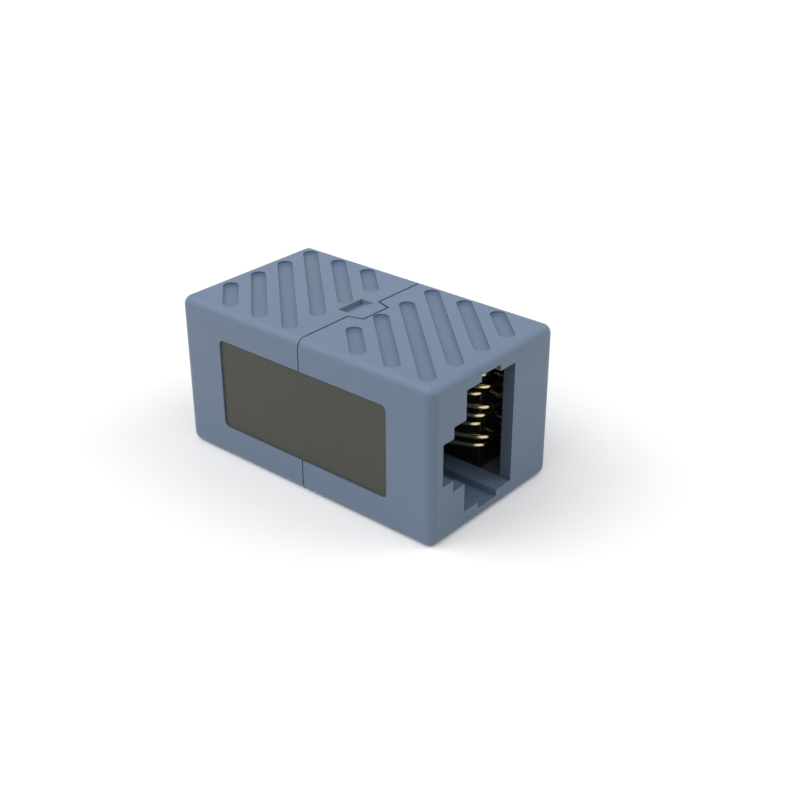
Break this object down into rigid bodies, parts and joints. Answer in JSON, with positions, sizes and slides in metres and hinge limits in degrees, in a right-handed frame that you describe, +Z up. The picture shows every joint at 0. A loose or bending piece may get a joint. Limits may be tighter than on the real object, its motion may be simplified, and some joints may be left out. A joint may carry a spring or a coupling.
{
  "type": "network cable inline coupler",
  "caption": "Inline coupler that joins two network patch cords end to end: a two-part snap-together moulded shell with a modular jack at each end and gold-plated contact wires on a board between them.",
  "frame": {"origin": "middle of the underside, on the joint plane of the two shell halves", "axes": "+X out of the front jack along the plug, -Y the side with the label and the latch keys, +Z up out of the slotted top"},
  "size_m": [0.03, 0.017, 0.0152],
  "materials": {
    "shell": "blue-grey moulded plastic with a fine satin grain",
    "label": "dark olive-grey plate, matt",
    "carrier": "black moulded plastic, glossy",
    "board": "green circuit board with solder mask",
    "contact": "gold-plated spring wire, polished"
  },
  "bodies": {
    "root": {"front_shell": "shell", "rear_shell": "shell", "side_label": "label", "front_carrier": "carrier", "rear_carrier": "carrier", "circuit_board": "board", "front_contact_1": "contact", "front_contact_2": "contact", "front_contact_3": "contact", "front_contact_4": "contact", "front_contact_5": "contact", "front_contact_6": "contact", "front_contact_7": "contact", "front_contact_8": "contact", "rear_contact_1": "contact", "rear_contact_2": "contact", "rear_contact_3": "contact", "rear_contact_4": "contact", "rear_contact_5": "contact", "rear_contact_6": "contact", "rear_contact_7": "contact", "rear_contact_8": "contact"}
  },
  "joints": []
}
